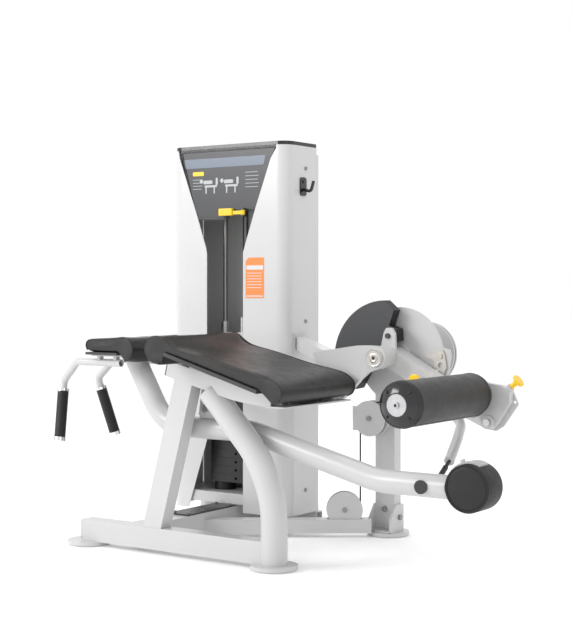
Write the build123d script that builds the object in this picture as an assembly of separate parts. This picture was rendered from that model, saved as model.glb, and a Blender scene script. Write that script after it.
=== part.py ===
"""Lying leg curl machine with a weight-stack tower and a rocking chest pad.

Units are millimetres and +Z is up.  +X runs along the bench towards the leg
roller, +Y runs across it towards the weight-stack tower.  Everything is drawn
from a point on the floor under the foot of the curved leg, and the whole
machine is then moved so that its origin is the middle of its box, on the floor.
"""
import math
import os

from build123d import *

os.makedirs("parts", exist_ok=True)

# ---------------------------------------------------------------- dimensions
WALL = 3.0                      # wall of the frame tubes
BEAM_LOW, BEAM_HIGH = 16.0, 92.0
BEAM_HALF = 30.0                # half the width of the front floor beam
BEAM_LEFT = -829.0
FOOT_RADIUS, FOOT_PLATE, FOOT_RUBBER = 79.0, 12.0, 4.0
FEET = [(-818, 0), (0, 0), (-17, 769), (-815, 736), (-592, 640)]

LEG_OD = 89.0                   # curved front leg
SPINE_X = (-640.0, -545.0)      # tube that joins the bench to the tower
SPINE_END = 716.0
DIAGONAL_START, DIAGONAL_END = (-634.0, 292.0), (-6.0, 734.0)
DIAGONAL_TOP, DIAGONAL_WIDTH = 67.0, 51.0

UPRIGHT_X, UPRIGHT_Y, UPRIGHT_TOP = (-58.0, 24.0), (745.0, 792.0), 728.0

PIVOT_X, PIVOT_Z = 200.0, 690.0     # exercise pivot, level with the knee
SHAFT_RADIUS = 15.0
RUNNING = 0.05                      # radial running clearance of every shaft
BRACKET_Y = (320.0, 340.0)
HOUSING_Y = (311.0, 347.0)
BOSS_Y = (348.0, 395.0)
ARM_Y = (395.0, 471.0)
ARM_DEPTH, ARM_SLOPE, ARM_LENGTH = 66.0, 29.0, 345.0
DISC_Y, DISC_RADIUS = (482.0, 490.0), 170.0
CRANK_Y, CRANK_RADIUS, CRANK_ANGLE = (498.0, 508.0), 52.0, -5.0
CRANK_PIN_RADIUS = 6.0
SLOT_RADIUS, SLOT_LENGTH, SLOT_ANGLE = 8.0, 20.4, 35.5     # eye of the link, across the link
SHEAVE_Y, SHEAVE_LINE = (667.0, 691.0), 108.0
CABLE_Y = 679.0                 # middle of the sheave's groove
PIN_CIRCLE, PIN_STEP = 152.0, 12.0  # start-position holes in the disc

ROLLER_X, ROLLER_Z, ROLLER_RADIUS = 563.0, 580.0, 74.5
ROLLER_Y = (-150.0, 318.0)
CARRIAGE_X, CARRIAGE_Z = 600.0, 489.0
CARRIAGE_Y = (362.0, 391.0)

ROCKER_Y, ROCKER_OD = 92.0, 76.0
ROCKER_PIVOT = (-336.0, 508.0)
LINK_LOW = (521.0, 150.0, 308.0)
LINK_OD = 34.0
END_WEIGHT = (684.0, 316.0)
END_WEIGHT_RADIUS, END_WEIGHT_Y = 75.0, (40.0, 144.0)

PAD_MIDDLE, PAD_HALF = 70.0, 228.0
SMALL_PAD_HALF = 150.0
BOARD_SLOPE = 16.05
BOARD_LEFT, BOARD_RIGHT, BOARD_TOP = -344.0, 38.0, 712.0
BOARD_THICK = 12.0

TOWER_X = (-856.0, -304.0)
TOWER_Y = (515.0, 715.0)
TOWER_LOW, TOWER_TOP = 70.0, 1464.0
SHROUD = 3.0
CORNER = 48.0
STACK_X, STACK_Y = -582.0, 620.0
PLATE = (270.0, 100.0, 32.0)
STACK_LOW = 172.0
PLATES, LIFTED = 17, 5
ROD_OFFSET, ROD_RADIUS = 87.0, 9.5
SELECTOR_RADIUS = 11.0

CABLE_RADIUS = 3.0
UPPER_PULLEY, UPPER_PULLEY_Z = 48.0, 443.0
LOWER_PULLEY, LOWER_PULLEY_Z = 59.0, 101.0
TURN_PULLEY = 35.0
BASE_PULLEY = 30.0
TOP_PULLEY_Z = 1385.0
CABLE_BACK = (-625.0, 703.0)        # where the cable rises behind the stack


# ------------------------------------------------------------------- helpers
def block(x0, x1, y0, y1, z0, z1):
    """Box between two corners."""
    return Pos((x0 + x1) / 2, (y0 + y1) / 2, (z0 + z1) / 2) * Box(x1 - x0, y1 - y0, z1 - z0)


def rod_y(x, z, radius, y0, y1):
    """Cylinder along Y."""
    return Pos(x, (y0 + y1) / 2, z) * Rot(90, 0, 0) * Cylinder(radius, y1 - y0)


def rod_z(x, y, radius, z0, z1):
    """Cylinder along Z."""
    return Pos(x, y, (z0 + z1) / 2) * Cylinder(radius, z1 - z0)


def rod_between(start, end, radius):
    """Cylinder from one point to another."""
    along = Vector(*end) - Vector(*start)
    plane = Plane(origin=start, z_dir=along)
    return extrude(plane * Circle(radius), amount=along.length)


def bar(start, end, width, depth, wall=0.0, across=(0, 1, 0)):
    """Straight rectangular bar or tube; width lies along the across direction."""
    along = Vector(*end) - Vector(*start)
    plane = Plane(origin=start, x_dir=across, z_dir=along)
    section = Rectangle(width, depth)
    if wall:
        section = section - Rectangle(width - 2 * wall, depth - 2 * wall)
    return extrude(plane * section, amount=along.length)


def bent_tube(points, radii, outer, wall=0.0):
    """Round tube or rod along straight runs joined by tangent arcs."""
    path = FilletPolyline(*points, radius=radii)
    section = Circle(outer / 2)
    if wall:
        section = section - Circle(outer / 2 - wall)
    start = Plane(origin=path @ 0, z_dir=path % 0)
    return sweep(start * section, path=path)


def plate_y(outline, y0, y1, corner=0.0):
    """Flat plate across Y, cut to an outline of (x, z) corners."""
    points = [(x, y0, z) for x, z in outline]
    if corner:
        edge = FilletPolyline(*points, radius=corner, close=True)
    else:
        edge = Polyline(*points, close=True)
    return extrude(make_face(edge), amount=y1 - y0, dir=(0, 1, 0))


def polar(radius, degrees):
    """Point around the exercise pivot, as (x, z)."""
    angle = math.radians(degrees)
    return PIVOT_X + radius * math.cos(angle), PIVOT_Z + radius * math.sin(angle)


def along_arm(distance, offset=0.0):
    """Point on the exercise arm, as (x, z): distance from the pivot, offset above its line."""
    slope = math.radians(-ARM_SLOPE)
    return (PIVOT_X + distance * math.cos(slope) - offset * math.sin(slope),
            PIVOT_Z + distance * math.sin(slope) + offset * math.cos(slope))


def board_line(x, below=0.0):
    """Height of the underside of the main pad's foam, or of a line below it."""
    slope = math.radians(BOARD_SLOPE)
    return BOARD_TOP - (x - BOARD_LEFT) * math.tan(slope) - below / math.cos(slope)


def bolt_head(base, direction, radius=8.0, height=7.0):
    """Round socket head standing on a face."""
    tip = Vector(*base) + Vector(*direction).normalized() * height
    return rod_between(base, tuple(tip), radius)


# --------------------------------------------------------------- floor frame
def make_feet():
    """Round steel foot plates on rubber pads."""
    feet = []
    for x, y in FEET:
        pad = rod_z(x, y, FOOT_RADIUS - 4, 0, FOOT_RUBBER)
        plate = rod_z(x, y, FOOT_RADIUS, FOOT_RUBBER, FOOT_RUBBER + FOOT_PLATE)
        feet.append(pad + plate)
    return feet


def curved_leg_path(top=(-262, 575)):
    return [(0, 0, BEAM_LOW), (0, 0, 300), (top[0], 0, top[1])]


def make_curved_leg():
    leg = bent_tube(curved_leg_path(), [400], LEG_OD, WALL)
    return leg - pad_beam_solid()


def make_front_beam():
    beam = bar((BEAM_LEFT, 0, 54), (-20, 0, 54), 2 * BEAM_HALF, BEAM_HIGH - BEAM_LOW, WALL)
    return beam - rod_z(0, 0, LEG_OD / 2, 0, 200)


def make_left_leg():
    leg = bar((-505.5, 0, 79), (-350, 0, 650), 56, 78, WALL)
    return leg - pad_beam_solid() - block(-600, -400, -60, 60, 0, BEAM_HIGH)


def pad_beam_path():
    return [(-432, 0, 650), (-140, 0, 578), (8, 0, 560)]


def pad_beam_sweep(width, depth):
    path = FilletPolyline(*pad_beam_path(), radius=[500])
    start = Plane(origin=path @ 0, x_dir=(0, 1, 0), z_dir=path % 0)
    return sweep(start * Rectangle(width, depth), path=path)


def pad_beam_solid():
    return pad_beam_sweep(60, 54)


def make_pad_beam():
    return pad_beam_solid() - pad_beam_sweep(60 - 2 * WALL, 54 - 2 * WALL)


def make_end_caps():
    """Plastic caps in the open ends of the floor beam and the pad beam."""
    floor_cap = block(BEAM_LEFT - 8, BEAM_LEFT, -27, 27, BEAM_LOW + 3, BEAM_HIGH - 3)
    floor_cap = fillet(floor_cap.faces().sort_by(Axis.X)[0].edges(), 6)
    slope = (Vector(*pad_beam_path()[0]) - Vector(*pad_beam_path()[1])).normalized()
    start = Vector(*pad_beam_path()[0])
    pad_cap = bar(tuple(start), tuple(start + slope * 5), 58, 52)
    return [floor_cap, pad_cap]


def diagonal_point(distance):
    """Point along the middle of the diagonal floor tube, as (x, y)."""
    heading = diagonal_heading()
    return DIAGONAL_START[0] + heading[0] * distance, DIAGONAL_START[1] + heading[1] * distance


def diagonal_heading():
    dx = DIAGONAL_END[0] - DIAGONAL_START[0]
    dy = DIAGONAL_END[1] - DIAGONAL_START[1]
    length = math.hypot(dx, dy)
    return dx / length, dy / length


CABLE_RUN = (CABLE_Y - DIAGONAL_START[1]) / diagonal_heading()[1]
LOWER_CABLE_AT = diagonal_point(CABLE_RUN)
LOWER_PULLEY_AT = diagonal_point(CABLE_RUN - LOWER_PULLEY)
UPPER_PULLEY_AT = (LOWER_CABLE_AT[0] + UPPER_PULLEY, LOWER_CABLE_AT[1])


def diagonal_frame():
    """Axes of the diagonal tube: x along it, z up, y across it away from the bench."""
    heading = diagonal_heading()
    return Location(Plane(origin=(*LOWER_PULLEY_AT, 0), x_dir=(*heading, 0), z_dir=(0, 0, 1)))


def make_diagonal():
    """Diagonal floor tube with its pulley slot, and the bolted shoe for the upright."""
    middle = (BEAM_LOW + DIAGONAL_TOP) / 2
    start, end = diagonal_point(60), diagonal_point(712)
    tube = bar((*start, middle), (*end, middle), DIAGONAL_WIDTH, DIAGONAL_TOP - BEAM_LOW, WALL,
               across=(-diagonal_heading()[1], diagonal_heading()[0], 0))
    slot = diagonal_frame() * block(-66, 66, -11, 11, DIAGONAL_TOP - 10, DIAGONAL_TOP + 10)
    tube = tube - slot - block(-700, SPINE_X[1], 200, 500, 0, 100)
    tube = tube - block(UPRIGHT_X[0] - 8, 200, 700, 900, 0, 200)
    side = [(705, BEAM_LOW), (800, BEAM_LOW), (800, 118), (745, 118), (705, 66)]
    cheeks = []
    for x in (UPRIGHT_X[0] - 8, UPRIGHT_X[1]):
        edge = FilletPolyline(*[(x, y, z) for y, z in side], radius=8, close=True)
        cheeks.append(extrude(make_face(edge), amount=8, dir=(1, 0, 0)))
    floor = block(UPRIGHT_X[0], UPRIGHT_X[1], 705, UPRIGHT_Y[0], BEAM_LOW, BEAM_LOW + 8)
    return tube + cheeks[0] + cheeks[1] + floor


def make_spine():
    """Tube from the front beam to the back of the tower, with its cable openings."""
    tube = bar((-592.5, BEAM_HALF, 54), (-592.5, SPINE_END, 54), SPINE_X[1] - SPINE_X[0],
               BEAM_HIGH - BEAM_LOW, 4, across=(1, 0, 0))
    side_hole = block(-560, -530, 330, 385, 30, 54)
    return tube - side_hole - cable_slot()


def cable_slot():
    """Way up for the cable and its base pulley, through the spine and the tray."""
    return block(CABLE_BACK[0] - 11, CABLE_BACK[0] + 11, 632, 709.5, 86, 150)


def make_spine_cover():
    plate = block(*SPINE_X, 230, 520, BEAM_HIGH, BEAM_HIGH + 6)
    return plate - [rod_z(x, y, 4.5, 90, 100) for x, y in cover_bolts()]


def cover_bolts():
    return [(-625, 250), (-560, 250), (-560, 330), (-625, 500), (-560, 500)]


def make_frame_bolts():
    """Socket heads that hold the covers, the upright and the pad boards, and the pulley axles."""
    heads = [bolt_head((x, y, BEAM_HIGH + 6), (0, 0, 1), 7, 6) for x, y in cover_bolts()]
    heads.append(bolt_head((UPRIGHT_X[1] + 8, 768, 70), (1, 0, 0), 10, 8))
    heads.append(bolt_head((UPRIGHT_X[0] - 8, 768, 70), (-1, 0, 0), 10, 8))
    heads.append(bolt_head((-17, UPRIGHT_Y[0], 100), (0, -1, 0), 10, 8))
    for z in (160, 800, 1380):
        heads.append(bolt_head((TOWER_X[1], 640, z), (1, 0, 0), 7, 4))
        heads.append(bolt_head((TOWER_X[0], 640, z), (-1, 0, 0), 7, 4))
    return heads + pulley_axles()


def make_upright():
    """Rear upright with the arm that carries the far end of the exercise shaft."""
    x_mid, y_mid = sum(UPRIGHT_X) / 2, sum(UPRIGHT_Y) / 2
    width, depth = UPRIGHT_X[1] - UPRIGHT_X[0], UPRIGHT_Y[1] - UPRIGHT_Y[0]
    post = bar((x_mid, y_mid, BEAM_LOW), (x_mid, y_mid, UPRIGHT_TOP), width, depth, WALL,
               across=(1, 0, 0))
    arm = block(UPRIGHT_X[1], PIVOT_X + 20, *UPRIGHT_Y, 657, UPRIGHT_TOP)
    housing = rod_y(PIVOT_X, PIVOT_Z, 40, 735, 802)
    pulley_block = block(-100, -60, 698, UPRIGHT_Y[0], 425, 470)
    web = block(-60, UPRIGHT_X[0], 698, UPRIGHT_Y[1], 425, 470)
    whole = post + arm + housing + pulley_block + web
    return whole - rod_y(PIVOT_X, PIVOT_Z, SHAFT_RADIUS + RUNNING, 700, 830)


# ------------------------------------------------------------------ pad frame
def sloped_slab(x0, x1, y0, y1, top, thick):
    """Slab that follows the slope of the main pad's board."""
    outline = [(x0, board_line(x0, top)), (x1, board_line(x1, top)),
               (x1, board_line(x1, top + thick)), (x0, board_line(x0, top + thick))]
    return plate_y(outline, y0, y1)


def make_pad_mounts():
    """Cross plates under the main pad, their risers, and the hanger of the rocker."""
    left = sloped_slab(-338, -238, -110, 250, BOARD_THICK, 6)
    right = sloped_slab(-90, -10, -110, 250, BOARD_THICK, 6)
    riser = plate_y([(-334, board_line(-334, 18)), (-242, board_line(-242, 18)),
                     (-242, 590), (-334, 600)], -29, 29) - pad_beam_solid()
    second = plate_y([(-88, board_line(-88, 18)), (-12, board_line(-12, 18)),
                      (-12, 580), (-88, 590)], -29, 29) - pad_beam_solid()
    hanger = []
    outline = [(-368, 486), (-304, 486), (-244, 640), (-244, board_line(-244, 17)),
               (-334, board_line(-334, 17)), (-345, 640)]
    for y0 in (66, 109):
        cheek = plate_y(outline, y0, y0 + 9)
        hanger.append(cheek - rod_y(*ROCKER_PIVOT, 8, 50, 130))
    end_plate = block(40, 112, -100, 298, 541, 546)
    return [left + riser + hanger[0] + hanger[1], right + second, end_plate]


def make_pivot_bracket():
    """Cross beam under the pad, curved pivot bracket, bearing housing and tower brace."""
    cross = bar((14, 30, 561), (14, BRACKET_Y[0], 561), 52, 42, WALL, across=(1, 0, 0))
    outline = [(-62, 700), (-40, 640), (-15, 540), (60, 540), (104, 580), (136, 614), (166, 638),
               (PIVOT_X, 650), (240, 690), (PIVOT_X, 730), (159, 731), (118, 729), (40, 717)]
    beak = plate_y(outline, *BRACKET_Y, corner=6)
    housing = rod_y(PIVOT_X, PIVOT_Z, 40, *HOUSING_Y)
    brace = bar((-326.6, 619.4, 722.8), (-15, 352, 684), 40, 50, WALL, across=(0.651, 0.759, 0))
    brace = brace - block(-500, TOWER_X[1], 400, 900, 500, 900)
    flange = block(TOWER_X[1], TOWER_X[1] + 6, 556, 644, 684, 756)
    foot = block(-60, 30, BRACKET_Y[1], 375, 658, 706)
    whole = cross + beak + housing + flange + (brace - foot - flange) + foot
    whole = whole - rod_y(PIVOT_X, PIVOT_Z, SHAFT_RADIUS + RUNNING, 300, 360)
    return [whole, make_pivot_cap()]


def make_pivot_cap():
    """Bright cover on the near end of the bearing housing."""
    cap = rod_y(PIVOT_X, PIVOT_Z, 30, 301, HOUSING_Y[0])
    cap = chamfer(cap.edges().group_by(Axis.Y)[0], 3)
    return cap + rod_y(PIVOT_X, PIVOT_Z, 9, 299, 301)


def make_main_board():
    board = sloped_slab(BOARD_LEFT, BOARD_RIGHT, PAD_MIDDLE - PAD_HALF + 2,
                        PAD_MIDDLE + PAD_HALF - 2, 0, BOARD_THICK)
    return board - pad_beam_solid()


def make_main_pad():
    """Foam pad that slopes down to the knees, with a rolled edge at both ends."""
    under_left, under_right = (BOARD_LEFT, board_line(BOARD_LEFT)), (BOARD_RIGHT, board_line(BOARD_RIGHT))
    y0 = PAD_MIDDLE - PAD_HALF

    def at(x, z):
        return (x, y0, z)

    skin = [(-352, 671), (-408, 683), (-435, 718), (-417, 759), (-372, 771), (-327, 743), (-228, 713),
            (-134, 691), (-35, 667), (50, 651), (104, 632), (138, 597), (126, 562), (92, 553)]
    edges = [
        Line(at(*under_right), at(*under_left)),
        Line(at(*under_left), at(*skin[0])),
        Spline([at(*point) for point in skin]),
        Line(at(*skin[-1]), at(*under_right)),
    ]
    outline = Wire(edges)
    return extrude(make_face(outline), amount=2 * PAD_HALF, dir=(0, 1, 0))


# ---------------------------------------------------------------- front rocker
def rocker_path():
    return [(x, ROCKER_Y, z) for x, z in
            [(-690, 689), (-541, 438), (-163, 438), (346, 309), (612, 309)]]


def make_rocker_tube():
    """Rocking tube with its pivot lug, head plate and the bush for the link."""
    tube = bent_tube(rocker_path(), [150, 300, 300], ROCKER_OD, WALL)
    tube = tube - block(-800, -600, 0, 200, 684, 760)
    tube = tube - rod_y(END_WEIGHT[0], END_WEIGHT[1], END_WEIGHT_RADIUS + 7, 0, 200)
    head = block(-770, -618, -45, 185, 684, 690)
    lug = plate_y([(-374, 474), (-298, 474), (-316, 528), (-356, 528)], 76, 108, corner=4)
    lug = lug - rod_y(*ROCKER_PIVOT, 8 + RUNNING, 50, 130)
    inside = bent_tube(rocker_path(), [150, 300, 300], ROCKER_OD - 2 * WALL)
    bush = rod_y(LINK_LOW[0], LINK_LOW[2], 14, ROCKER_Y - 36, ROCKER_Y + 44)
    whole = tube + head + (lug - inside) + bush
    return whole - rod_y(LINK_LOW[0], LINK_LOW[2], 8, 0, 200)


def make_rocker_pivot_pin():
    pin = rod_y(*ROCKER_PIVOT, 8, 66, 118)
    heads = rod_y(*ROCKER_PIVOT, 13, 58, 66) + rod_y(*ROCKER_PIVOT, 13, 118, 126)
    return pin + heads


def make_small_board():
    return block(-768, -622, PAD_MIDDLE - SMALL_PAD_HALF + 3, PAD_MIDDLE + SMALL_PAD_HALF - 3, 690, 699)


def make_small_pad():
    """Chest pad, nearly level, with a rolled edge towards the main pad."""
    y0 = PAD_MIDDLE - SMALL_PAD_HALF

    def at(x, z):
        return (x, y0, z)

    edges = [
        Line(at(-622, 699), at(-760, 699)),
        ThreePointArc(at(-760, 699), at(-776, 722), at(-760, 746)),
        Spline([at(-760, 746), at(-690, 751), at(-588, 756)]),
        ThreePointArc(at(-588, 756), at(-545, 710), at(-590, 663)),
        Line(at(-590, 663), at(-622, 699)),
    ]
    return extrude(make_face(Wire(edges)), amount=2 * SMALL_PAD_HALF, dir=(0, 1, 0))


def grip_ends(side):
    """Top and bottom of one hand grip; side is -1 near the user side, +1 towards the tower."""
    return (Vector(-920, PAD_MIDDLE + side * 100, 557), Vector(-891, PAD_MIDDLE + side * 150, 376))


def make_handle_tubes():
    """Two bent tubes that carry the hand grips, hung from the head plate on brackets."""
    handles = []
    for side in (-1, 1):
        top, bottom = grip_ends(side)
        along = (bottom - top).normalized()
        y = PAD_MIDDLE + side * 100
        points = [tuple(bottom - along * 3), tuple(top - along * 32), (-850, y, 661), (-640, y, 661)]
        brackets = [block(x, x + 12, y - 10, y + 10, 661, 684) for x in (-745, -668)]
        tube = bent_tube(points, [30, 38], 27, 2.5)
        inside = bent_tube(points, [30, 38], 22)
        handles.append(tube + (brackets[0] - inside) + (brackets[1] - inside))
    return handles


def grip_sleeve(side, radius, start, end):
    """Sleeve on the handle between two distances from the top of the grip."""
    top, bottom = grip_ends(side)
    along = (bottom - top).normalized()
    first, last = tuple(top + along * start), tuple(top + along * end)
    return rod_between(first, last, radius) - rod_between(first, last, 13.6)


def grip_length():
    top, bottom = grip_ends(1)
    return (bottom - top).length


def make_grips():
    return [grip_sleeve(side, 20, 10, grip_length() - 10) for side in (-1, 1)]


def make_grip_collars():
    """Bright collars at both ends of each grip, the lower one closed."""
    collars = []
    for side in (-1, 1):
        top, bottom = grip_ends(side)
        along = (bottom - top).normalized()
        collars.append(grip_sleeve(side, 22, 0, 10))
        lower = rod_between(tuple(bottom - along * 10), tuple(bottom + along * 4), 22)
        inner = rod_between(tuple(bottom - along * 12), tuple(bottom - along * 2), 13.6)
        collars.append(lower - inner)
    return collars


def make_end_weight():
    weight = rod_y(*END_WEIGHT, END_WEIGHT_RADIUS, *END_WEIGHT_Y)
    return fillet(weight.edges().filter_by(GeomType.CIRCLE), 9)


def make_end_cradle():
    """Curved saddle on the end of the rocking tube, with its two bolts."""
    x, z = END_WEIGHT
    shell = rod_y(x, z, END_WEIGHT_RADIUS + 6.5, 62, 122) - rod_y(x, z, END_WEIGHT_RADIUS + 0.5, 50, 130)
    wedge = plate_y([(x, z), (x + 70, z + 140), (x - 200, z + 140), (x - 200, z - 60)], 60, 124)
    bolt = bolt_head((x - 35, 92, z + 73), (-0.45, 0, 0.9), 8, 10)
    return (shell & wedge) + bolt


def make_link_pin():
    """Cross pin that carries the link, with its black cover on the near side."""
    pin = rod_y(LINK_LOW[0], LINK_LOW[2], 8, 54, 141) + rod_y(LINK_LOW[0], LINK_LOW[2], 7, 141, 156.5)
    return pin + rod_y(LINK_LOW[0], LINK_LOW[2], 22, 48, 54)


# ----------------------------------------------------------------------- link
CRANK_PIN = polar(CRANK_RADIUS, CRANK_ANGLE)


def slot_point(distance):
    """Point along the slot of the link's eye, as (x, z), from the crank pin at rest."""
    angle = math.radians(SLOT_ANGLE)
    return CRANK_PIN[0] + distance * math.cos(angle), CRANK_PIN[1] + distance * math.sin(angle)


def slot_shape(radius, y0, y1):
    """Round-ended bar along the slot of the link's eye."""
    near, far = slot_point(0), slot_point(SLOT_LENGTH)
    middle = (y0 + y1) / 2
    between = bar((near[0], middle, near[1]), (far[0], middle, far[1]), y1 - y0, 2 * radius)
    return rod_y(*near, radius, y0, y1) + rod_y(*far, radius, y0, y1) + between


def make_link_tube():
    """Bent link from the crank behind the disc, down and forward to the rocking tube."""
    far = slot_point(SLOT_LENGTH)
    neck = bar((far[0], 520, far[1]), (308, 520, 592), 18, 24)
    points = [(301, 520, 599), (372, 520, 512), (467, 430, 470), (507, 320, 427), rod_line(94)]
    tube = bent_tube(points, [60, 150, 250], LINK_OD) - rod_between(rod_line(70), rod_line(110), 6)
    return slot_shape(13, 511, 529) + neck + tube - slot_shape(SLOT_RADIUS, 500, 540)


def rod_line(distance):
    """Point on the line of the rod end, from the cross pin towards the link."""
    return tuple(Vector(*LINK_LOW) + Vector(13, 75, 71).normalized() * distance)


def make_rod_end():
    """Black rod end, with its threaded neck, between the link and the rocking tube."""
    eye = rod_y(LINK_LOW[0], LINK_LOW[2], 17, 143, 157)
    shank = rod_between(rod_line(12), rod_line(70), 9) + rod_between(rod_line(70), rod_line(110), 6)
    return eye + shank - rod_y(LINK_LOW[0], LINK_LOW[2], 7 + RUNNING, 130, 170)


# --------------------------------------------------------------- exercise cam
def make_shaft():
    """Exercise shaft in two diameters, turning in the bracket and the upright."""
    return rod_y(PIVOT_X, PIVOT_Z, SHAFT_RADIUS, 312, 806)


def shaft_hole():
    return rod_y(PIVOT_X, PIVOT_Z, SHAFT_RADIUS, 300, 820)


def make_disc():
    """Range-of-motion disc with a rim tab, its sleeve and the crank of the link."""
    disc = rod_y(PIVOT_X, PIVOT_Z, DISC_RADIUS, *DISC_Y)
    tab = plate_y([(368, 722), (396, 714), (399, 690), (386, 622), (340, 640), (340, 700)], *DISC_Y,
                  corner=5)
    flange = rod_y(PIVOT_X, PIVOT_Z, 42, 472.5, DISC_Y[0])
    sleeve = rod_y(PIVOT_X, PIVOT_Z, 22, DISC_Y[1], CRANK_Y[1])
    crank = plate_y([polar(21, CRANK_ANGLE + 90), polar(58, CRANK_ANGLE + 16), polar(67, CRANK_ANGLE),
                     polar(58, CRANK_ANGLE - 16), polar(21, CRANK_ANGLE - 90)], *CRANK_Y, corner=5)
    pin = rod_y(*CRANK_PIN, CRANK_PIN_RADIUS, CRANK_Y[1], 533)
    holes = [rod_y(*polar(PIN_CIRCLE, PIN_STEP * i - ARM_SLOPE), 6, *DISC_Y) for i in range(4)]
    return disc + tab + flange + sleeve + crank + pin - holes - shaft_hole()


def make_stop_hook():
    """Plated hook that meets the stop at the start position."""
    outline = [(304, 698), (340, 704), (352, 716), (372, 713), (378, 700), (386, 656), (374, 630),
               (338, 652), (340, 672), (330, 682), (312, 684)]
    hook = plate_y(outline, DISC_Y[0] - 6, DISC_Y[0])
    hook = hook - rod_y(362, 662, 9, 470, 490)
    return hook + bolt_head((361, DISC_Y[0] - 6, 694), (0, -1, 0), 9, 5)


def make_sheave():
    """Grooved cam wheel that winds the cable, on its long hub."""
    wheel = rod_y(PIVOT_X, PIVOT_Z, SHEAVE_LINE + 6, *SHEAVE_Y) + rod_y(PIVOT_X, PIVOT_Z, 38, 538, 700)
    middle = sum(SHEAVE_Y) / 2
    groove = (rod_y(PIVOT_X, PIVOT_Z, SHEAVE_LINE + 10, middle - 4, middle + 4)
              - rod_y(PIVOT_X, PIVOT_Z, SHEAVE_LINE - CABLE_RADIUS - 0.5, middle - 5, middle + 5))
    windows = [rod_y(*polar(70, a), 20, 660, 700) for a in range(0, 360, 60)]
    return wheel - groove - windows - shaft_hole()


# --------------------------------------------------------------- exercise arm
def make_arm():
    """Exercise arm: boss, box tube, counterweight lug and the plate for the roller carriage."""
    boss = rod_y(PIVOT_X, PIVOT_Z, 35, *BOSS_Y) + rod_y(PIVOT_X, PIVOT_Z, ARM_DEPTH / 2, *ARM_Y)
    y_mid = sum(ARM_Y) / 2
    start, end = along_arm(0), along_arm(ARM_LENGTH)
    tube = bar((start[0], y_mid, start[1]), (end[0], y_mid, end[1]), ARM_Y[1] - ARM_Y[0], ARM_DEPTH)
    first, last = along_arm(42), along_arm(ARM_LENGTH - 4)
    hollow = bar((first[0], y_mid, first[1]), (last[0], y_mid, last[1]), ARM_Y[1] - ARM_Y[0] - 8,
                 ARM_DEPTH - 8)
    lug = plate_y([(168, 700), (232, 700), (228, 770), (216, 790), (194, 790), (184, 772)],
                  ARM_Y[0], ARM_Y[0] + 12, corner=9)
    sector = plate_y([along_arm(300, 30), along_arm(345, 52), (CARRIAGE_X + 66, CARRIAGE_Z + 118),
                      (CARRIAGE_X + 92, CARRIAGE_Z + 60), (CARRIAGE_X + 40, CARRIAGE_Z - 14),
                      (CARRIAGE_X + 14, CARRIAGE_Z - 30), (CARRIAGE_X - 24, CARRIAGE_Z - 26),
                      along_arm(300, -30)], 392, 400, corner=6)
    holes = [rod_y(CARRIAGE_X + 104 * math.cos(a), CARRIAGE_Z + 104 * math.sin(a), 5.5, 380, 410)
             for a in (math.radians(40 + 14 * i) for i in range(3))]
    collar = rod_between(start_pin_line(0), start_pin_line(26), 12)
    whole = boss + (tube - hollow) + lug + sector + collar - holes
    whole = whole - rod_between(start_pin_line(-90), start_pin_line(40), 6.0)
    whole = whole - rod_y(CARRIAGE_X, CARRIAGE_Z, 9.0, 380, 410)
    return whole - rod_y(PIVOT_X, PIVOT_Z, SHAFT_RADIUS + RUNNING, 340, 480)


def start_pin_line(distance):
    """Point on the start-position pin's line, which leaves the near face of the arm."""
    x, z = along_arm(PIN_CIRCLE)
    return (x, ARM_Y[0] - distance, z)


def make_start_pin():
    """Pop-pin with a yellow knob that locks the arm to the disc."""
    shank = rod_between(start_pin_line(-79), start_pin_line(30), 5.5)
    neck = rod_between(start_pin_line(27), start_pin_line(42), 9)
    knob = rod_between(start_pin_line(42), start_pin_line(54), 21)
    return shank + neck + fillet(knob.edges().filter_by(GeomType.CIRCLE), 4)


def make_counterweight():
    """Rubber-coated balance weight that wraps round the back of the pivot."""
    y0, y1 = 424.0, 468.0

    def at(x, z):
        return (x, y0, z)

    edges = [
        ThreePointArc(at(168, 884), at(42, 838), at(-32, 716)),
        ThreePointArc(at(-32, 716), at(-22, 640), at(34, 568)),
        Line(at(34, 568), at(62, 574)),
        Line(at(62, 574), at(94, 628)),
        ThreePointArc(at(94, 628), at(140, 700), at(184, 738)),
        Line(at(184, 738), at(222, 744)),
        Line(at(222, 744), at(220, 786)),
        Line(at(220, 786), at(188, 797)),
        Line(at(188, 797), at(208, 850)),
        Line(at(208, 850), at(168, 884)),
    ]
    body = extrude(make_face(Wire(edges)), amount=y1 - y0, dir=(0, 1, 0))
    bolt = rod_y(202, 762, 9, 388, 395) + rod_y(202, 762, 12, ARM_Y[0] + 12, y0)
    return body + bolt


# ------------------------------------------------------------ roller carriage
def carriage_pin_line(distance):
    """Point on the carriage pin's line, which leaves the top of the casting."""
    aim = Vector(46, 0, 38).normalized()
    base = Vector(CARRIAGE_X + 58, 377, CARRIAGE_Z + 104)
    return tuple(base + aim * distance)


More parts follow.
